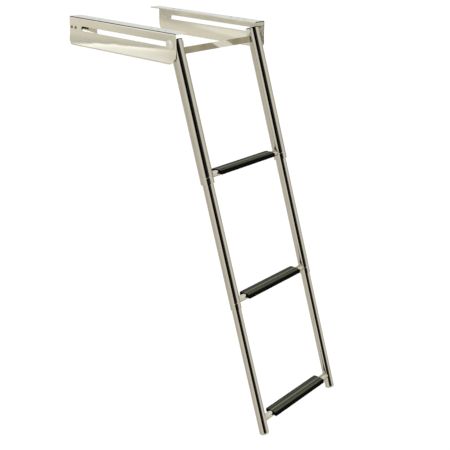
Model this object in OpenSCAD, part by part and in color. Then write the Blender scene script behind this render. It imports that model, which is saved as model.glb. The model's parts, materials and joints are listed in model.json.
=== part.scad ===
// Under-platform boarding ladder: two slotted sheet-metal tracks carry a folding
// ladder whose middle and lower sections telescope up into its upper rails.
// +X is across the ladder, +Y runs inboard along the tracks, +Z is up.
// The origin is the centre of the outer bolt rectangle, on the mounting plane.

/* [Tracks] */
// Length of each track, front edge to rear edge
track_len = 360; // [340:5:420]
// Height of each track's web below the mounting plane
track_drop = 66; // [62:1:80]
// Distance between the outer faces of the two webs
track_span = 304; // [280:2:360]
// Width of the mounting flange, measured from the web's outer face
flange_w = 34; // [28:1:40]
// Thickness of the track sheet
sheet_t = 2.5; // [2:0.25:3]
// How far the curved skirt below the slot flares outward at its bottom edge
skirt_flare = 5; // [3:0.5:8]
// Radius of the rolled lower edge of each skirt
hem_r = 1.6; // [1.5:0.1:2]
// Radius of the rounded lower corners of each track
corner_r = 17; // [10:1:20]

/* [Slot and pivot] */
// Depth of the slot's centre line below the mounting plane
slot_depth = 25.5; // [24:0.5:27]
// Height of the slot
slot_h = 11; // [10:0.5:12]
// Distance of the deployed pivot behind the track's front edge
pivot_back = 18; // [16:1:24]
// Sliding travel of the pivot along the slot
slide_travel = 293; // [200:1:300]
// Diameter of the pivot bolt's shank
bolt_d = 8; // [8:1:9]
// Diameter of the pivot bolt's domed head
head_d = 19; // [16:1:20]

/* [Ladder] */
// Lean of the rails away from vertical when deployed
lean = 18.5; // [15:0.5:22]
// Outside diameter of the upper rails
upper_d = 31.75; // [31:0.25:32]
// Outside diameter of the middle rails
middle_d = 25.4; // [25:0.1:26]
// Outside diameter of the lower rails
lower_d = 22; // [21:0.1:22]
// Gap between each upper rail and the web beside it
rail_gap = 1.6; // [1.4:0.1:4]
// Distance along the rails from the pivot to the upper step
step1_at = 299; // [290:1:310]
// Distance between the upper and middle steps
step12 = 293; // [280:1:300]
// Distance between the middle and lower steps
step23 = 287; // [270:1:290]
// Length of rail below a section's own step
rail_below = 17; // [15:1:20]
// Length of the lower rails below the lowest step
foot_below = 29; // [25:1:45]

/* [Steps] */
// Height of the flattened step tubes
step_d = 14; // [12:0.5:15]
// Width of the flattened step tubes, front to back
step_w = 16; // [15:0.5:21.5]
// Depth of the tread, front to back
tread_w = 31; // [29:1:33]
// Length of the tread
tread_len = 192; // [180:1:212]
// Number of grip grooves along each tread
tread_grooves = 5; // [3:2:7]
// Distance of each tread screw from the middle of the step
screw_x = 70; // [50:5:90]

/* [Hidden] */
$fn = 64;
clear = 0.05;
past = 1;
// Tracks
front_y = -169;
rear_y = front_y + track_len;
web_out = track_span / 2;
web_in = web_out - sheet_t;
bend_r = 4;
flare_top = slot_depth + slot_h / 2 + past;
flare_run = track_drop - flare_top;
flare_a = 2 * atan(skirt_flare / flare_run);
flare_r = flare_run / sin(flare_a);
flare_mid_r = flare_r + sheet_t / 2;
track_low = flare_top + flare_mid_r * sin(flare_a) + hem_r;
bolt_row_x = web_out - flange_w / 2;
bolt_hole_d = 6.6;
// Distance of each mounting hole behind the track's front edge
bolt_rows = [48, 70, 92, 268, 290];
// Retaining spring and its two rivets
rivet_r = 2;
rivet_rows = [rear_y - 8, rear_y - 22];
rivet_head_r = 3.2;
rivet_head_t = 0.8;
rivet_tail_r = 3;
rivet_tail_t = 0.6;
spring_t = 0.8;
spring_w = 12;
spring_tail_y = rear_y - 3;
spring_knee_y = rear_y - 42;
spring_tip_y = rear_y - 99;
spring_step = 4.6;
spring_tab_w = 1.6;
spring_tab_h = 9.6;
spring_tab_out = 2;
// Pivot
pivot_y = front_y + pivot_back;
pivot_z = -slot_depth;
slot_rear_y = pivot_y + slide_travel;
upper_r = upper_d / 2;
rail_x = web_in - rail_gap - upper_r;
bolt_r = bolt_d / 2;
bore_r = bolt_r + clear;
side_washer_r = 9;
side_washer_t = rail_gap - 2 * clear;
head_washer_r = head_d / 2 + 1;
head_washer_t = 1.2;
head_gap = 0.1;
head_h = 4;
head_rim = 1;
nut_h = 3.6;
nut_across = 13;
nut_cap = 1.2;
nut_bevel = 0.8;
nut_face_r = 5.7;
sleeve_r = 6;
// Rails: distances are along the rail from the pivot
rail_top = -7.5;
cap_t = 2.5;
cap_rim = 1.8;
upper_wall = 1.6;
middle_wall = 1;
lower_wall = 1.2;
upper_end = step1_at + rail_below;
step2_at = step1_at + step12;
middle_end = step2_at + rail_below;
step3_at = step2_at + step23;
lower_end = step3_at + foot_below;
bush_len = 16;
stop_len = 14;
stop_gap = 0.5;
middle_start = upper_end - bush_len - stop_gap - stop_len;
lower_start = middle_end - bush_len - stop_gap - stop_len;
crimp_up = 15;
crimp_depth = 0.5;
crimp_half = 1.4;
plug_t = 4;
plug_in = 14;
plug_bore_r = 5;
plug_bevel = 1.5;
// Crossbar
bar_at = 17.5;
bar_h = 15;
bar_t = 5;
// Steps and treads
step_r = step_d / 2;
step_wall = 1.5;
tread_base = -1;
tread_edge = 7.5;
tread_crown = 3;
tread_top = tread_base + tread_edge + tread_crown;
tread_arch_r = (tread_w * tread_w / 4 + tread_crown * tread_crown) / (2 * tread_crown);
groove_pitch = tread_w / (tread_grooves + 1.6);
groove_w = 1.6;
groove_h = 1;
screw_r = 1.5;
screw_tip = step_r + 1;
screw_head_r = 3;
screw_head_h = 1.6;
screw_head_rim = 0.5;
steel = [0.82, 0.80, 0.74];
bright = [0.88, 0.87, 0.83];
nylon = [0.90, 0.90, 0.86];
dark = [0.13, 0.13, 0.11];
grey = [0.74, 0.72, 0.68];

// ---- helpers ----

// Children drawn for the right-hand side; side = -1 gives their mirror image
module on_side(side) {
    if (side < 0) mirror([1, 0, 0]) children();
    else children();
}

// Frame of the leaning rails: local -Z runs down the rail from the pivot
module rail_frame() {
    translate([0, pivot_y, pivot_z]) rotate([-lean, 0, 0]) children();
}

// One rail's own axis, at a distance down the rail
module on_rail(at) {
    rail_frame() translate([rail_x, 0, -at]) children();
}

// Cylinder along +X from x0 to x1
module x_rod(r, x0, x1) {
    translate([x0, 0, 0]) rotate([0, 90, 0]) cylinder(r = r, h = x1 - x0);
}

// Washer or bush along +X from x0 to x1
module x_ring(r_out, r_in, x0, x1) {
    difference() {
        x_rod(r_out, x0, x1);
        x_rod(r_in, x0 - past, x1 + past);
    }
}

// Upright ring from z = -len to 0
module ring(r_out, r_in, len) {
    translate([0, 0, -len]) difference() {
        cylinder(r = r_out, h = len);
        translate([0, 0, -past]) cylinder(r = r_in, h = len + 2 * past);
    }
}

// Low dome standing on z = 0, with a straight rim and a crown at height h
module dome(r, rim, h) {
    rise = h - rim;
    arc_r = (r * r + rise * rise) / (2 * rise);
    rotate_extrude($fn = 96) intersection() {
        translate([0, h - arc_r]) circle(r = arc_r, $fn = 360);
        square([r, h]);
    }
}

// Tube that hangs from z = 0 with a rolled groove near its lower end
module rail_tube(r, wall, len, groove_up) {
    zg = -len + groove_up;
    rotate_extrude() polygon([
        [r - wall, 0], [r, 0],
        [r, zg + crimp_half], [r - crimp_depth, zg + crimp_half / 3],
        [r - crimp_depth, zg - crimp_half / 3], [r, zg - crimp_half],
        [r, -len], [r - wall, -len]
    ]);
}

// ---- tracks ----

// Curved skirt below the slot, in X and Z, tangent to the web, with its rolled lower edge
module skirt_profile() {
    reach = flare_r + 2 * sheet_t;
    translate([web_out + flare_r, -flare_top]) {
        intersection() {
            difference() {
                circle(r = flare_r + sheet_t, $fn = 720);
                circle(r = flare_r, $fn = 720);
            }
            polygon([[0, 0], [-reach, 0], [-reach, -reach * tan(flare_a)]]);
        }
        rotate(flare_a) translate([-flare_mid_r, 0]) circle(r = hem_r);
    }
}

// Sheet profile of the right-hand track: flange, bend, web and skirt, in X and Z
module track_profile() {
    flange_x = web_out - flange_w;
    difference() {
        union() {
            translate([flange_x, -sheet_t]) square([flange_w - bend_r, sheet_t]);
            translate([web_out - bend_r, -bend_r]) circle(r = bend_r);
            translate([web_in, -flare_top]) square([sheet_t, flare_top - bend_r]);
            skirt_profile();
        }
        // space under the flange, with the bend's inner round
        translate([web_out - bend_r, -bend_r]) circle(r = bend_r - sheet_t);
        translate([flange_x, -track_drop]) square([flange_w - bend_r, track_drop - sheet_t]);
        translate([flange_x, -track_drop]) square([flange_w - sheet_t, track_drop - bend_r]);
    }
}

// Side outline of the track, in Y and Z, with its rounded lower corners
module track_outline() {
    translate([front_y, corner_r - track_low]) square([track_len, track_low - corner_r]);
    translate([front_y + corner_r, -track_low]) square([track_len - 2 * corner_r, track_low]);
    for (y = [front_y + corner_r, rear_y - corner_r])
        translate([y, corner_r - track_low]) circle(r = corner_r);
}

module web_hole(r, y) {
    translate([0, y, pivot_z]) x_rod(r, web_in - past, web_out + past);
}

module track() {
    difference() {
        intersection() {
            translate([0, rear_y, 0]) rotate([90, 0, 0])
                linear_extrude(height = track_len) track_profile();
            rotate([90, 0, 90]) linear_extrude(height = web_out + flange_w) track_outline();
        }
        // slot with round ends
        web_hole(slot_h / 2, pivot_y);
        web_hole(slot_h / 2, slot_rear_y);
        translate([web_in - past, pivot_y, pivot_z - slot_h / 2])
            cube([sheet_t + 2 * past, slide_travel, slot_h]);
        // mounting holes
        for (row = bolt_rows)
            translate([bolt_row_x, front_y + row, -sheet_t - past])
                cylinder(d = bolt_hole_d, h = sheet_t + 2 * past);
        // rivet holes for a retaining spring
        for (y = rivet_rows) web_hole(rivet_r, y);
    }
}

module left_track() { color(steel) on_side(-1) track(); }
module right_track() { color(steel) on_side(1) track(); }

// Leaf spring riveted to the web's inner face; it covers the slot's rear end, and the tab on its
// tip stands in the slot
module stow_spring() {
    leaf_x = web_in - spring_t;
    low_z = pivot_z - spring_w / 2;
    high_z = pivot_z + spring_w / 2;
    color(bright) on_side(-1) {
        difference() {
            translate([leaf_x, 0, 0]) rotate([90, 0, 90]) linear_extrude(height = spring_t) polygon([
                [spring_tip_y, low_z], [spring_knee_y, low_z + spring_step],
                [spring_knee_y, low_z], [spring_tail_y, low_z],
                [spring_tail_y, high_z], [spring_knee_y, high_z + spring_step],
                [spring_tip_y, high_z]
            ]);
            for (y = rivet_rows) web_hole(rivet_r, y);
        }
        translate([leaf_x, spring_tip_y, pivot_z - spring_tab_h / 2])
            cube([spring_tab_out, spring_tab_w, spring_tab_h]);
    }
}

module stow_rivets() {
    leaf_x = web_in - spring_t;
    color(bright) on_side(-1) for (y = rivet_rows) translate([0, y, pivot_z]) {
        x_rod(rivet_r, leaf_x, web_out);
        x_rod(rivet_head_r, web_out, web_out + rivet_head_t);
        x_rod(rivet_tail_r, leaf_x - rivet_tail_t, leaf_x);
    }
}

// ---- pivot hardware, one set on each side ----

module at_pivot() { translate([0, pivot_y, pivot_z]) children(); }

module pivot_bolt() {
    head_x = web_out + head_gap + head_washer_t;
    at_pivot() {
        x_rod(bolt_r, rail_x - upper_r - clear - nut_h + nut_cap, head_x);
        translate([head_x, 0, 0]) rotate([0, 90, 0]) dome(head_d / 2, head_rim, head_h);
    }
}

module head_washer() {
    x0 = web_out + head_gap;
    at_pivot() x_ring(head_washer_r, bore_r, x0, x0 + head_washer_t);
}

module slot_bush() {
    at_pivot() x_ring(slot_h / 2 - clear, bore_r, web_in - clear, web_out + clear);
}

module side_washer() {
    x1 = web_in - clear;
    at_pivot() x_ring(side_washer_r, bore_r, x1 - side_washer_t, x1);
}

// Cap nut inside the ladder, closed at the end of the bolt
module pivot_nut() {
    x0 = rail_x - upper_r - clear - nut_h;
    at_pivot() difference() {
        union() {
            translate([x0 + nut_bevel, 0, 0]) rotate([0, 90, 0])
                cylinder(d = nut_across / cos(30), h = nut_h - nut_bevel, $fn = 6);
            x_rod(nut_face_r, x0, x0 + nut_bevel);
        }
        x_rod(bolt_r, x0 + nut_cap, x0 + nut_h + past);
    }
}

module left_pivot_bolt() { color(bright) on_side(-1) pivot_bolt(); }
module right_pivot_bolt() { color(bright) on_side(1) pivot_bolt(); }
module left_head_washer() { color(nylon) on_side(-1) head_washer(); }
module right_head_washer() { color(nylon) on_side(1) head_washer(); }
module left_slot_bush() { color(nylon) on_side(-1) slot_bush(); }
module right_slot_bush() { color(nylon) on_side(1) slot_bush(); }
module left_side_washer() { color(nylon) on_side(-1) side_washer(); }
module right_side_washer() { color(nylon) on_side(1) side_washer(); }
module left_pivot_nut() { color(bright) on_side(-1) pivot_nut(); }
module right_pivot_nut() { color(bright) on_side(1) pivot_nut(); }

// ---- rails ----

module upper_rail() {
    difference() {
        on_rail(rail_top) rail_tube(upper_r, upper_wall, upper_end - rail_top, crimp_up);
        at_pivot() x_rod(sleeve_r, rail_x - upper_r - past, rail_x + upper_r + past);
    }
}

// Sleeve welded across the rail for the pivot bolt
module pivot_sleeve() {
    at_pivot() x_ring(sleeve_r, bore_r, rail_x - upper_r, rail_x + upper_r);
}

module top_cap() {
    on_rail(rail_top) dome(upper_r, cap_rim, cap_t);
}

// Bush pressed into the lower end of a tube, flush with the tube's end
module guide_bush(end_at, tube_r, tube_wall, slider_r) {
    on_rail(end_at - bush_len) ring(tube_r - tube_wall, slider_r + clear, bush_len);
}

// Sleeve fixed on the top of a sliding tube, which stops it against the guide bush
module stop_sleeve(start_at, outer_r, outer_wall, slider_r) {
    on_rail(start_at) ring(outer_r - outer_wall - clear, slider_r, stop_len);
}

module upper_guide() { guide_bush(upper_end, upper_r, upper_wall, middle_d / 2); }
module middle_rail() {
    on_rail(middle_start) rail_tube(middle_d / 2, middle_wall, middle_end - middle_start, crimp_up);
}
module middle_stop() { stop_sleeve(middle_start, upper_r, upper_wall, middle_d / 2); }
module middle_guide() { guide_bush(middle_end, middle_d / 2, middle_wall, lower_d / 2); }
module lower_rail() {
    on_rail(lower_start) ring(lower_d / 2, lower_d / 2 - lower_wall, lower_end - lower_start);
}
module lower_stop() { stop_sleeve(lower_start, middle_d / 2, middle_wall, lower_d / 2); }
module foot_plug() {
    foot_r = lower_d / 2;
    on_rail(lower_end - plug_in) ring(foot_r - lower_wall, plug_bore_r, plug_in);
    on_rail(lower_end) rotate_extrude() polygon([
        [0, 0], [foot_r, 0], [foot_r, plug_bevel - plug_t],
        [foot_r - plug_bevel, -plug_t], [0, -plug_t]
    ]);
}

module left_upper_rail() { color(steel) on_side(-1) upper_rail(); }
module right_upper_rail() { color(steel) on_side(1) upper_rail(); }
module left_pivot_sleeve() { color(steel) on_side(-1) pivot_sleeve(); }
module right_pivot_sleeve() { color(steel) on_side(1) pivot_sleeve(); }
module left_top_cap() { color(dark) on_side(-1) top_cap(); }
module right_top_cap() { color(dark) on_side(1) top_cap(); }
module left_upper_guide() { color(nylon) on_side(-1) upper_guide(); }
module right_upper_guide() { color(nylon) on_side(1) upper_guide(); }
module left_middle_rail() { color(steel) on_side(-1) middle_rail(); }
module right_middle_rail() { color(steel) on_side(1) middle_rail(); }
module left_middle_stop() { color(nylon) on_side(-1) middle_stop(); }
module right_middle_stop() { color(nylon) on_side(1) middle_stop(); }
module left_middle_guide() { color(nylon) on_side(-1) middle_guide(); }
module right_middle_guide() { color(nylon) on_side(1) middle_guide(); }
module left_lower_rail() { color(steel) on_side(-1) lower_rail(); }
module right_lower_rail() { color(steel) on_side(1) lower_rail(); }
module left_lower_stop() { color(nylon) on_side(-1) lower_stop(); }
module right_lower_stop() { color(nylon) on_side(1) lower_stop(); }
module left_foot_plug() { color(grey) on_side(-1) foot_plug(); }
module right_foot_plug() { color(grey) on_side(1) foot_plug(); }

// ---- cross members ----

// Both rails' outer cylinders, used to cope the ends of what is welded to them
module rail_cutters(r, at, reach) {
    for (side = [-1, 1]) rail_frame() translate([side * rail_x, 0, -at - reach])
        cylinder(r = r, h = 2 * reach);
}

module crossbar() {
    color(steel) difference() {
        rail_frame() translate([-rail_x, -bar_t / 2, -bar_at - bar_h / 2])
            cube([2 * rail_x, bar_t, bar_h]);
        rail_cutters(upper_r, bar_at, bar_h);
    }
}

// Level frame at the middle of a step
module on_step(at) {
    translate([0, pivot_y - at * sin(lean), pivot_z - at * cos(lean)]) children();
}

// Section of the flattened step tube, in Y and Z, drawn inside its outer face by inset
module step_section(inset) {
    half = step_w / 2 - step_r;
    for (y = [-half, half]) translate([y, 0]) circle(r = step_r - inset);
    translate([-half, inset - step_r]) square([2 * half, 2 * (step_r - inset)]);
}

// Drawn in Y and Z, made as long as the given length along X and centred on it
module along_x(len) {
    rotate([90, 0, 90]) translate([0, 0, -len / 2]) linear_extrude(height = len) children();
}

// Flattened tube coped onto both rails, with two screw holes through it
module step_tube(at, rail_r) {
    color(steel) difference() {
        on_step(at) along_x(2 * rail_x) step_section(0);
        on_step(at) along_x(2 * rail_x + 2 * past) step_section(step_wall);
        rail_cutters(rail_r, at, 2 * step_w);
        screw_holes(at);
    }
}

module screw_holes(at) {
    on_step(at) for (side = [-1, 1]) translate([side * screw_x, 0, -step_d])
        cylinder(r = screw_r + clear, h = step_d + screw_tip + clear);
}

// Arched tread section in Y and Z, with grip grooves and a channel for the tube
module tread_profile() {
    difference() {
        intersection() {
            translate([0, tread_top - tread_arch_r]) circle(r = tread_arch_r, $fn = 128);
            translate([-tread_w / 2, tread_base]) square([tread_w, tread_top]);
        }
        step_section(-clear);
        for (i = [-(tread_grooves - 1) / 2 : (tread_grooves - 1) / 2]) {
            y = i * groove_pitch;
            z = tread_top - tread_arch_r + sqrt(tread_arch_r * tread_arch_r - y * y);
            translate([y - groove_w / 2, z - groove_h]) square([groove_w, tread_crown]);
        }
    }
}

module tread(at) {
    color(dark) difference() {
        on_step(at) along_x(tread_len) tread_profile();
        screw_holes(at);
    }
}

// Two round-headed screws up through the tube into the tread
module tread_screws(at) {
    color(bright) on_step(at) for (side = [-1, 1]) translate([side * screw_x, 0, 0]) {
        translate([0, 0, -step_r]) cylinder(r = screw_r, h = step_r + screw_tip);
        translate([0, 0, -step_r]) rotate([180, 0, 0])
            dome(screw_head_r, screw_head_rim, screw_head_h);
    }
}

module upper_step() { step_tube(step1_at, upper_r); }
module middle_step() { step_tube(step2_at, middle_d / 2); }
module lower_step() { step_tube(step3_at, lower_d / 2); }
module upper_tread() { tread(step1_at); }
module middle_tread() { tread(step2_at); }
module lower_tread() { tread(step3_at); }
module upper_tread_screws() { tread_screws(step1_at); }
module middle_tread_screws() { tread_screws(step2_at); }
module lower_tread_screws() { tread_screws(step3_at); }

left_track();
right_track();
stow_spring();
stow_rivets();
left_pivot_bolt();
right_pivot_bolt();
left_head_washer();
right_head_washer();
left_slot_bush();
right_slot_bush();
left_side_washer();
right_side_washer();
left_pivot_nut();
right_pivot_nut();
left_upper_rail();
right_upper_rail();
left_pivot_sleeve();
right_pivot_sleeve();
left_top_cap();
right_top_cap();
crossbar();
left_upper_guide();
right_upper_guide();
upper_step();
upper_tread();
upper_tread_screws();
left_middle_rail();
right_middle_rail();
left_middle_stop();
right_middle_stop();
left_middle_guide();
right_middle_guide();
middle_step();
middle_tread();
middle_tread_screws();
left_lower_rail();
right_lower_rail();
left_lower_stop();
right_lower_stop();
left_foot_plug();
right_foot_plug();
lower_step();
lower_tread();
lower_tread_screws();
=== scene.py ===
"""Looks for the under-platform boarding ladder: polished stainless rails and tracks, dark ribbed
treads and pale nylon bushes, on a plain floor. Every shape comes from the CAD frame."""
import json
import math

import bpy
from mathutils import Matrix, Vector


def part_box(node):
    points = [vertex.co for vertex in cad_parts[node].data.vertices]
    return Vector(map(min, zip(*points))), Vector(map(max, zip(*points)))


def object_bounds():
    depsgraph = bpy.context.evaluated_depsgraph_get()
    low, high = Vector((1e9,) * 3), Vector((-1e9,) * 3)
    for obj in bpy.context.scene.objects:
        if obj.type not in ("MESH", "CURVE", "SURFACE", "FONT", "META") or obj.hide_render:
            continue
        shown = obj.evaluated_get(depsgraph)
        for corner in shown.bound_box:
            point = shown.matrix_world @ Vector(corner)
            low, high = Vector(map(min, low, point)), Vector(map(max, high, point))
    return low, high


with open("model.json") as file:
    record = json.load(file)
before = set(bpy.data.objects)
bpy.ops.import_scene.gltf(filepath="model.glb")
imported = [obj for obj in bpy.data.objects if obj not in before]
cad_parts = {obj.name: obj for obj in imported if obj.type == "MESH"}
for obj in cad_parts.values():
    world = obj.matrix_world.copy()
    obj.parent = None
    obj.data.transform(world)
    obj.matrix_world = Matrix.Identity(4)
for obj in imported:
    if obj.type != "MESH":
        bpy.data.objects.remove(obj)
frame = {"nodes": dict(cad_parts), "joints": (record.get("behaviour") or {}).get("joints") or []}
bounds_at_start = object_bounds()
nodes = frame["nodes"]

# Lean of the rails, read from the telescoping joint's own axis
SLIDE_AXIS = next(j["axis"] for j in frame["joints"] if j["name"] == "middle_telescope")
LEAN = math.atan2(SLIDE_AXIS[1], SLIDE_AXIS[2])


# ---- node helpers ----

def rgb(r, g, b):
    return (r, g, b, 1.0)


class Tree:
    """A short way to write a node tree: each call adds one node and returns its main output"""

    def __init__(self, tree):
        self.tree = tree
        tree.nodes.clear()

    def fill(self, node, inputs):
        """Link or set each of the node's inputs"""
        for key, value in dict(inputs).items():
            if isinstance(value, bpy.types.NodeSocket):
                self.tree.links.new(value, node.inputs[key])
            else:
                node.inputs[key].default_value = value

    def add(self, kind, inputs=(), out=0, **settings):
        node = self.tree.nodes.new(kind)
        for key, value in settings.items():
            setattr(node, key, value)
        self.fill(node, inputs)
        return node.outputs[out] if node.outputs else None

    def math(self, operation, a, b=0.0, c=0.0):
        return self.add("ShaderNodeMath", {0: a, 1: b, 2: c}, operation=operation)

    def part(self, vector, index):
        """One component of a vector: 0 for X, 1 for Y or 2 for Z"""
        return self.add("ShaderNodeSeparateXYZ", {"Vector": vector}, out=index)

    def fit(self, value, low, high, to_low, to_high):
        """value from the range low..high to the range to_low..to_high, held at the ends"""
        return self.add("ShaderNodeMapRange", {
            "Value": value, "From Min": low, "From Max": high,
            "To Min": to_low, "To Max": to_high,
        })

    def spread(self, noise, to_low, to_high):
        """A noise pattern, which lies mostly between 0.3 and 0.7, over the range to_low..to_high"""
        return self.fit(noise, 0.3, 0.7, to_low, to_high)

    def noise(self, vector, scale, detail=2.0, roughness=0.5):
        return self.add("ShaderNodeTexNoise", {
            "Vector": vector, "Scale": scale, "Detail": detail, "Roughness": roughness,
        })

    def mix(self, factor, a, b):
        """Colour a where factor is 0, and b where it is 1"""
        return self.add("ShaderNodeMix", {0: factor, 6: a, 7: b}, out=2, data_type="RGBA")

    def ramp(self, factor, stops):
        """Colour ramp through stops of (place, (r, g, b))"""
        node = self.tree.nodes.new("ShaderNodeValToRGB")
        node.color_ramp.interpolation = "LINEAR"
        elements = node.color_ramp.elements
        while len(elements) < len(stops):
            elements.new(0.5)
        for element, (place, colour) in zip(elements, stops):
            element.position = place
            element.color = rgb(*colour)
        self.tree.links.new(factor, node.inputs[0])
        return node.outputs[0]

    def bump(self, height, strength, distance):
        return self.add("ShaderNodeBump", {
            "Height": height, "Strength": strength, "Distance": distance,
        })

    def point(self):
        """The point in the object's own coordinates"""
        return self.add("ShaderNodeTexCoord", out=3)

    def facing(self):
        """The surface normal in the object's own coordinates"""
        return self.add("ShaderNodeTexCoord", out=1)

    def along_rail(self):
        """The point in coordinates whose Z runs along the leaning rails"""
        return self.add("ShaderNodeMapping", {
            "Vector": self.point(), "Rotation": (LEAN, 0.0, 0.0),
        })

    def stretched(self, vector, scale):
        """Coordinates in which a pattern is drawn out along the axes with a small scale"""
        return self.add("ShaderNodeMapping", {"Vector": vector, "Scale": scale})


def surface(name, build):
    """A new material whose Principled inputs are what build(tree) returns"""
    material = bpy.data.materials.new(name)
    material.use_nodes = True
    tree = Tree(material.node_tree)
    shader = tree.add("ShaderNodeBsdfPrincipled", build(tree))
    tree.add("ShaderNodeOutputMaterial", {"Surface": shader})
    return material


# ---- materials, with places and depths in metres ----

# Depth of grain, draw lines and tool marks
FINE = 0.0002

# Weld beads on the steps, from where they begin to where they are full
WELD_FROM = 0.1125
WELD_FULL = 0.1145

# Ribs of painted sheen across each tread's top, their phase, and the shares of its half width where
# the sheen fades out
RIB_TURNS = 3
RIB_PHASE = 1.2
RIBS_TO = 0.62
RIBS_END = 0.8

# The bright length of the crossbar, as a range of X + BAR_SLANT * Z with slightly soft ends
BAR_BRIGHT = (-0.078, -0.028)
BAR_SLANT = 1.6
BAR_EDGE = 0.004

# The stow spring gets painted shade, near-black, behind this Y and above this Z
SPRING_SHADE_Y = 0.124
SPRING_SHADE_Z = -0.0245

# Slant of the buff marks on the tracks
BUFFING_TURN = math.radians(35.0)

STEEL = rgb(0.68, 0.65, 0.58)
STEEL_DULL = rgb(0.58, 0.55, 0.48)
SHEET = rgb(0.87, 0.85, 0.75)
SHEET_DULL = rgb(0.78, 0.75, 0.64)
# Near-black painted onto the right track's cut front edge, as painted reflection
DARK_EDGE_REFLECTION = rgb(0.02, 0.018, 0.012)
JET = rgb(0.004, 0.004, 0.003)


def rail_steel(tree):
    """Polished tube: fine draw lines along its length and a faint haze where it is handled"""
    place = tree.along_rail()
    lines = tree.noise(tree.stretched(place, (1.0, 1.0, 0.02)), 900.0)
    haze = tree.noise(place, 22.0, 4.0)
    return {
        "Base Color": tree.mix(tree.fit(haze, 0.35, 0.75, 0.0, 0.5), STEEL, STEEL_DULL),
        "Metallic": 1.0,
        "Roughness": tree.math("ADD", tree.spread(haze, 0.03, 0.06),
                               tree.spread(lines, -0.01, 0.015)),
        "Normal": tree.bump(lines, 0.04, FINE),
    }


def sheet_steel(tree):
    """Polished sheet: slow waves from forming, slanting buff marks and small scuffs"""
    place = tree.point()
    waves = tree.noise(tree.stretched(place, (1.0, 0.6, 1.3)), 14.0, 1.0)
    slant = tree.add("ShaderNodeMapping", {
        "Vector": place, "Rotation": (BUFFING_TURN, 0.0, 0.0), "Scale": (1.0, 0.1, 1.0),
    })
    buffing = tree.noise(slant, 160.0, 3.0, 0.6)
    cloud = tree.noise(slant, 38.0, 2.0)
    # the flat webs are buffed to a satin that takes some plain light, and the bends stay mirror bright
    facing = tree.facing()
    sideways = tree.math("ABSOLUTE", tree.part(facing, 0))
    # the cut front edge of the right track is painted near-black, a painted reflection of the dark it
    # faces
    front = tree.fit(tree.part(facing, 1), -0.9, -0.96, 0.0, 1.0)
    painted_edge_reflection = tree.math("MULTIPLY", front, tree.fit(tree.part(place, 0), 0.0, 0.01, 0.0, 0.93))
    bright = tree.mix(tree.fit(cloud, 0.4, 0.7, 0.0, 0.55), SHEET, SHEET_DULL)
    return {
        "Base Color": tree.mix(painted_edge_reflection, bright, DARK_EDGE_REFLECTION),
        "Metallic": tree.fit(sideways, 0.80, 0.93, 1.0, 0.68),
        "Specular IOR Level": 0.0,
        "Roughness": tree.math("ADD", tree.spread(cloud, 0.03, 0.07),
                               tree.spread(buffing, -0.01, 0.02)),
        "Normal": tree.bump(tree.math("ADD", tree.math("MULTIPLY", buffing, 0.03), waves),
                            0.12, 0.004),
    }


def weld_steel(tree):
    """Step tube: polished along its length, with rippled weld beads near the two rails"""
    place = tree.along_rail()
    bead = tree.fit(tree.math("ABSOLUTE", tree.part(place, 0)), WELD_FROM, WELD_FULL, 0.0, 1.0)
    ripple = tree.add("ShaderNodeTexWave", {
        "Vector": place, "Scale": 260.0, "Distortion": 3.0, "Detail": 1.0,
    }, out=1, bands_direction="Z")
    lines = tree.noise(tree.stretched(place, (0.05, 1.0, 1.0)), 700.0)
    height = tree.math("ADD", tree.math("MULTIPLY", ripple, bead),
                       tree.math("MULTIPLY", lines, 0.08))
    return {
        "Base Color": tree.mix(tree.math("MULTIPLY", bead, 0.35), STEEL, rgb(0.62, 0.55, 0.42)),
        "Metallic": 1.0,
        "Roughness": tree.math("ADD", tree.spread(lines, 0.08, 0.12),
                               tree.math("MULTIPLY", bead, 0.12)),
        "Normal": tree.bump(height, 0.25, 0.0006),
    }


def fastener_steel(tree):
    """Bright satin heads with fine tool marks"""
    place = tree.point()
    speck = tree.noise(place, 1200.0, 2.0)
    wear = tree.noise(place, 260.0, 3.0)
    return {
        "Base Color": tree.mix(tree.fit(wear, 0.45, 0.7, 0.0, 0.3), rgb(0.97, 0.97, 0.92), STEEL),
        "Metallic": 1.0,
        "Roughness": tree.spread(wear, 0.34, 0.44),
        "Normal": tree.bump(speck, 0.05, FINE),
    }


def rivet_steel(tree):
    """Dark, unpolished rivet heads with hammer marks"""
    marks = tree.noise(tree.point(), 700.0, 3.0)
    return {
        "Base Color": tree.mix(tree.fit(marks, 0.35, 0.7, 0.0, 1.0),
                               rgb(0.14, 0.13, 0.10), rgb(0.30, 0.28, 0.22)),
        "Metallic": 1.0,
        "Roughness": tree.spread(marks, 0.3, 0.45),
        "Normal": tree.bump(marks, 0.2, 0.0003),
    }


def spring_steel(tree):
    """Polished leaf spring with lengthwise grinding lines, and painted near-black shade where it
    closes the slot's end
    """
    place = tree.point()
    # painted shade: near-black on the spring where it closes the slot's end
    slot_end_shade = tree.math("MULTIPLY",
                      tree.fit(tree.part(place, 1), SPRING_SHADE_Y - 0.003, SPRING_SHADE_Y, 0.0, 1.0),
                      tree.fit(tree.part(place, 2), SPRING_SHADE_Z - 0.001, SPRING_SHADE_Z, 0.0, 1.0))
    lines = tree.noise(tree.stretched(place, (1.0, 0.04, 1.0)), 900.0, 2.0)
    cloud = tree.noise(place, 90.0, 3.0)
    brighter_length = tree.mix(tree.fit(cloud, 0.35, 0.7, 0.0, 1.0), SHEET, SHEET_DULL)
    return {
        "Base Color": tree.mix(slot_end_shade, brighter_length, rgb(0.010, 0.009, 0.006)),
        "Metallic": 1.0,
        "Roughness": tree.spread(lines, 0.08, 0.16),
        "Normal": tree.bump(lines, 0.05, FINE),
    }


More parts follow.
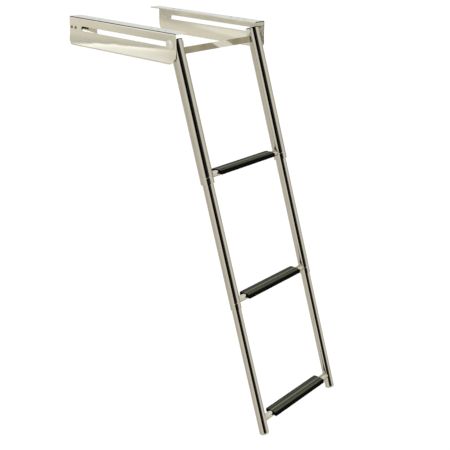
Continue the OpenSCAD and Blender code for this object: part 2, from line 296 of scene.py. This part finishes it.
def nylon(tree):
    """Off-white nylon with a faint moulded grain"""
    place = tree.point()
    grain = tree.noise(place, 1500.0, 2.0)
    tone = tree.noise(place, 120.0, 2.0)
    return {
        "Base Color": tree.mix(tree.fit(tone, 0.35, 0.7, 0.0, 1.0),
                               rgb(0.80, 0.79, 0.73), rgb(0.72, 0.70, 0.62)),
        "Roughness": tree.spread(grain, 0.38, 0.5),
        "Subsurface Weight": 0.08,
        "Subsurface Scale": 0.002,
        "Normal": tree.bump(grain, 0.08, FINE),
    }


def tread_finish(box):
    """The finish of one tread that fills this box: a build function for surface()"""
    low, high = box
    middle = (low.y + high.y) / 2
    half = (high.y - low.y) / 2

    def tread_plastic(tree):
        """Black moulding with a painted olive sheen on the top faces of the ribs, black on the sides
        and outer edges, with dust in its grain
        """
        place = tree.point()
        across = tree.math("DIVIDE", tree.math("SUBTRACT", tree.part(place, 1), middle), half)
        ribs = tree.math("SINE", tree.math("MULTIPLY_ADD", across, RIB_TURNS * math.pi, RIB_PHASE))
        on_ribs = tree.fit(tree.math("ABSOLUTE", across), RIBS_TO, RIBS_END, 1.0, 0.0)
        on_top = tree.fit(tree.part(tree.facing(), 2), 0.6, 0.95, 0.0, 1.0)
        # painted sheen: olive on the top faces towards the middle, black on the sides and outer edges
        painted_top_sheen = tree.math("MULTIPLY", on_ribs, on_top)
        lines = tree.noise(tree.stretched(place, (0.03, 1.0, 1.0)), 1100.0, 2.0)
        grain = tree.noise(place, 1800.0, 2.0)
        dust = tree.noise(place, 45.0, 4.0)
        # painted highlight: lighter olive on the rib crests, then real dust mixed in
        rib_sheen_and_dust = tree.mix(tree.fit(ribs, -0.2, 0.8, 0.0, 1.0),
                         rgb(0.040, 0.043, 0.026), rgb(0.145, 0.152, 0.100))
        rib_sheen_and_dust = tree.mix(tree.fit(dust, 0.35, 0.7, 0.0, 0.3), rib_sheen_and_dust, rgb(0.075, 0.078, 0.052))
        return {
            "Base Color": tree.mix(painted_top_sheen, JET, rib_sheen_and_dust),
            "Roughness": tree.math("ADD", tree.spread(dust, 0.5, 0.6),
                                   tree.spread(lines, -0.04, 0.04)),
            "Specular IOR Level": tree.math("MULTIPLY", painted_top_sheen, 0.12),
            "Normal": tree.bump(tree.math("ADD", lines, tree.math("MULTIPLY", grain, 0.5)),
                                0.22, FINE),
        }

    return tread_plastic


def cap_plastic(tree):
    """Black rail cap with a fine moulded grain and a few paler scuffs"""
    place = tree.point()
    scuff = tree.noise(place, 260.0, 4.0)
    grain = tree.noise(place, 1600.0, 2.0)
    return {
        "Base Color": tree.mix(tree.fit(scuff, 0.5, 0.75, 0.0, 1.0), JET, rgb(0.020, 0.020, 0.016)),
        "Roughness": tree.spread(scuff, 0.4, 0.6),
        "Specular IOR Level": 0.08,
        "Normal": tree.bump(grain, 0.12, FINE),
    }


def bar_steel(tree):
    """Crossbar: darker brushed flat, with one brighter length towards the right rail"""
    place = tree.point()
    slant = tree.math("MULTIPLY_ADD", tree.part(place, 2), BAR_SLANT, tree.part(place, 0))
    start, end = BAR_BRIGHT
    # a brighter length in the bar's colour only; its roughness is the same as the rest
    brighter_length = tree.math("MULTIPLY",
                         tree.fit(slant, start - BAR_EDGE, start + BAR_EDGE, 0.0, 1.0),
                         tree.fit(slant, end - BAR_EDGE, end + BAR_EDGE, 1.0, 0.0))
    lines = tree.noise(tree.stretched(place, (0.03, 1.0, 1.0)), 800.0, 2.0)
    cloud = tree.noise(place, 34.0, 3.0)
    dark = tree.mix(tree.fit(cloud, 0.4, 0.65, 0.0, 1.0),
                    rgb(0.42, 0.385, 0.28), rgb(0.34, 0.31, 0.22))
    return {
        "Base Color": tree.mix(brighter_length, dark, rgb(0.80, 0.79, 0.74)),
        "Metallic": 1.0,
        "Roughness": tree.spread(lines, 0.10, 0.18),
        "Normal": tree.bump(lines, 0.05, FINE),
    }


def plug_plastic(tree):
    """Pale grey foot plug, scuffed on its rim"""
    place = tree.point()
    scuff = tree.noise(place, 320.0, 4.0)
    grain = tree.noise(place, 1600.0, 2.0)
    return {
        "Base Color": tree.mix(tree.fit(scuff, 0.4, 0.7, 0.0, 1.0),
                               rgb(0.50, 0.48, 0.42), rgb(0.33, 0.32, 0.27)),
        "Roughness": tree.spread(scuff, 0.35, 0.55),
        "Normal": tree.bump(grain, 0.12, FINE),
    }


# Each finish with the endings of its nodes' names
FINISHES = (
    (fastener_steel, ("_bolt", "_nut", "_screws")),
    (rivet_steel, ("_rivets",)),
    (spring_steel, ("_spring",)),
    (nylon, ("_washer", "_bush", "_guide", "_stop")),
    (plug_plastic, ("_plug",)),
    (weld_steel, ("_step",)),
    (sheet_steel, ("_track",)),
    (rail_steel, ("_rail", "_sleeve")),
    (cap_plastic, ("_cap",)),
    (bar_steel, ("crossbar",)),
)


def dress(node, material):
    node.data.materials.clear()
    node.data.materials.append(material)


def dress_nodes():
    """One finish on each node. Each tread has its own, because its ribs follow the tread's box."""
    for name, node in nodes.items():
        if name.endswith("_tread"):
            dress(node, surface(name, tread_finish(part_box(name))))
    for build, endings in FINISHES:
        material = surface(build.__name__, build)
        for name, node in nodes.items():
            if name.endswith(endings):
                dress(node, material)


# ---- floor ----

# The floor lies a little below the hanging ladder's feet
FLOOR_DROP = 0.3
FLOOR_HALF = 25.0


def make_floor():
    low, high = bounds_at_start
    middle = (low + high) / 2
    mesh = bpy.data.meshes.new("floor")
    corners = [(middle.x + sx * FLOOR_HALF, middle.y + sy * FLOOR_HALF, low.z - FLOOR_DROP)
               for sx, sy in ((-1, -1), (1, -1), (1, 1), (-1, 1))]
    mesh.from_pydata(corners, [], [(0, 1, 2, 3)])
    floor = bpy.data.objects.new("floor", mesh)
    bpy.context.scene.collection.objects.link(floor)
    floor.visible_glossy = False

    def paper(tree):
        fibre = tree.noise(tree.point(), 60.0, 3.0)
        return {
            "Base Color": tree.mix(fibre, rgb(0.93, 0.93, 0.92), rgb(0.90, 0.90, 0.89)),
            "Roughness": 0.9,
        }

    mesh.materials.append(surface("pale_floor", paper))


# ---- studio ----

# What polished steel reflects: colours, or shares of one, at azimuths in degrees. 0 is the
# ladder's front (-Y), and 90 its right side (+X).
NONE = (0.0, 0.0, 0.0)
FULL = (1.0, 1.0, 1.0)
WALLS = (
    (-150.0, (0.64, 0.61, 0.54)),
    (-109.0, (0.66, 0.63, 0.56)),
    (-70.0, (0.82, 0.80, 0.74)),
    (-57.0, (0.86, 0.84, 0.77)),
    (18.0, (0.82, 0.80, 0.73)),
    (48.0, (0.80, 0.78, 0.70)),
    (75.0, (0.56, 0.54, 0.47)),
    (95.0, (0.42, 0.41, 0.36)),
    (122.0, (0.74, 0.76, 0.78)),
    (150.0, (0.74, 0.76, 0.78)),
)
# Behind the ladder: a screen instead of the walls
SCREEN_SHARE = ((-150.0, NONE), (-144.0, FULL), (-130.0, FULL), (-126.5, NONE))
# In front: a black panel, sharp on its left edge, and greyer and softer on its right edge
PANEL_SHARE = ((-56.0, NONE), (-53.0, FULL), (-30.0, FULL), (6.0, (0.95, 0.95, 0.95)), (17.0, NONE))
# High up behind: a black strip that the tracks' bends pick up
STRIP_SHARE = ((-156.0, FULL), (-146.0, NONE), (150.0, NONE), (160.0, FULL))

# The screen is bright above climb = BRIGHT_SLOPE * azimuth + BRIGHT_LINE, and darker towards that
# line from below. Its colours are spread over SCREEN_SPAN to either side of the line.
BRIGHT_SLOPE = -2.3
BRIGHT_LINE = math.radians(5.7) - BRIGHT_SLOPE * math.radians(-140.0)
SCREEN_SPAN = math.radians(30.0)
SCREEN = (
    (0.0, (0.58, 0.54, 0.44)),
    (0.20, (0.57, 0.53, 0.43)),
    (0.32, (0.49, 0.455, 0.36)),
    (0.40, (0.37, 0.34, 0.26)),
    (0.49, (0.25, 0.235, 0.19)),
    (0.505, (1.25, 1.25, 1.22)),
    (0.58, (0.87, 0.86, 0.83)),
    (0.75, (0.70, 0.69, 0.66)),
)
BEIGE_WALL = rgb(0.50, 0.47, 0.38)
PALE_TABLE = rgb(0.80, 0.79, 0.72)
OVERHEAD = rgb(0.98, 0.97, 0.92)
BLACK = rgb(*NONE)

# Strength of the plain white light that everything but mirror reflections takes
PLAIN_LIGHT = 1.16


def degrees_step(tree, angle, start, end, share=1.0):
    """0 before the start angle, and share after the end angle, both in degrees"""
    return tree.fit(angle, math.radians(start), math.radians(end), 0.0, share)


def make_world():
    """A soft white studio, as polished steel reflects it"""
    world = bpy.data.worlds.new("studio")
    bpy.context.scene.world = world
    world.use_nodes = True
    tree = Tree(world.node_tree)
    way = tree.add("ShaderNodeTexCoord", out=0)
    x, y, z = (tree.part(way, index) for index in range(3))
    azimuth = tree.math("ARCTAN2", x, tree.math("MULTIPLY", y, -1.0))
    climb = tree.math("ARCSINE", z)
    turn = tree.fit(azimuth, -math.pi, math.pi, 0.0, 1.0)

    def around(stops):
        """Colours at azimuths in degrees, as a ramp over the full turn"""
        return tree.ramp(turn, [((degrees + 180.0) / 360.0, colour) for degrees, colour in stops])

    line = tree.math("MULTIPLY_ADD", azimuth, BRIGHT_SLOPE, BRIGHT_LINE)
    above = tree.fit(tree.math("SUBTRACT", climb, line), -SCREEN_SPAN, SCREEN_SPAN, 0.0, 1.0)
    # the screen's right part is a beige wall over a pale table
    table = tree.mix(degrees_step(tree, climb, -8.5, -12.0), BEIGE_WALL, PALE_TABLE)
    right_part = degrees_step(tree, azimuth, -135.5, -133.5)
    screen = tree.mix(right_part, tree.ramp(above, SCREEN), table)
    shell = tree.mix(around(SCREEN_SHARE), around(WALLS), screen)
    panel = around(PANEL_SHARE)
    shell = tree.mix(panel, shell, BLACK)
    # overhead it is white, but for the black panel and the strip
    overhead = tree.math("MULTIPLY", degrees_step(tree, climb, 22.0, 40.0),
                         tree.math("SUBTRACT", 1.0, panel))
    shell = tree.mix(overhead, shell, OVERHEAD)
    strip = tree.math("MULTIPLY", degrees_step(tree, climb, 24.0, 29.0, 0.99), around(STRIP_SHARE))
    shell = tree.mix(strip, shell, BLACK)

    reflected = tree.add("ShaderNodeBackground", {"Color": shell, "Strength": 1.0})
    plain = tree.add("ShaderNodeBackground", {"Color": rgb(*FULL), "Strength": PLAIN_LIGHT})
    is_glossy = tree.add("ShaderNodeLightPath").node.outputs["Is Glossy Ray"]
    sight = tree.add("ShaderNodeMixShader", {0: is_glossy, 1: plain, 2: reflected})
    tree.add("ShaderNodeOutputWorld", {"Surface": sight})


# ---- camera ----

# Where it stands in metres, how it is turned, and its lens and sensor in millimetres
CAMERA_AT = Vector((-1.411, -1.4156, 0.2873))
CAMERA_AZIMUTH = math.radians(-48.95)
CAMERA_ELEVATION = math.radians(19.21)
CAMERA_ROLL = math.radians(1.28)
CAMERA_LENS = 65.8
CAMERA_SENSOR = 36.0
CAMERA_SHIFT = -0.1
CAMERA_REACH = 100.0


def make_camera():
    data = bpy.data.cameras.new("camera")
    data.lens = CAMERA_LENS
    data.sensor_width = CAMERA_SENSOR
    data.shift_y = CAMERA_SHIFT
    data.clip_end = CAMERA_REACH
    camera = bpy.data.objects.new("camera", data)
    bpy.context.scene.collection.objects.link(camera)
    across, climb = math.cos(CAMERA_ELEVATION), math.sin(CAMERA_ELEVATION)
    back = Vector((math.sin(CAMERA_AZIMUTH) * across, -math.cos(CAMERA_AZIMUTH) * across, climb))
    right = Vector((math.cos(CAMERA_AZIMUTH), math.sin(CAMERA_AZIMUTH), 0.0))
    up = back.cross(right)
    turned = Matrix((right, up, back)).transposed() @ Matrix.Rotation(CAMERA_ROLL, 3, "Z")
    camera.matrix_world = Matrix.Translation(CAMERA_AT) @ turned.to_4x4()
    bpy.context.scene.camera = camera


make_camera()
make_world()
make_floor()
dress_nodes()
bpy.context.scene.view_settings.view_transform = "Standard"
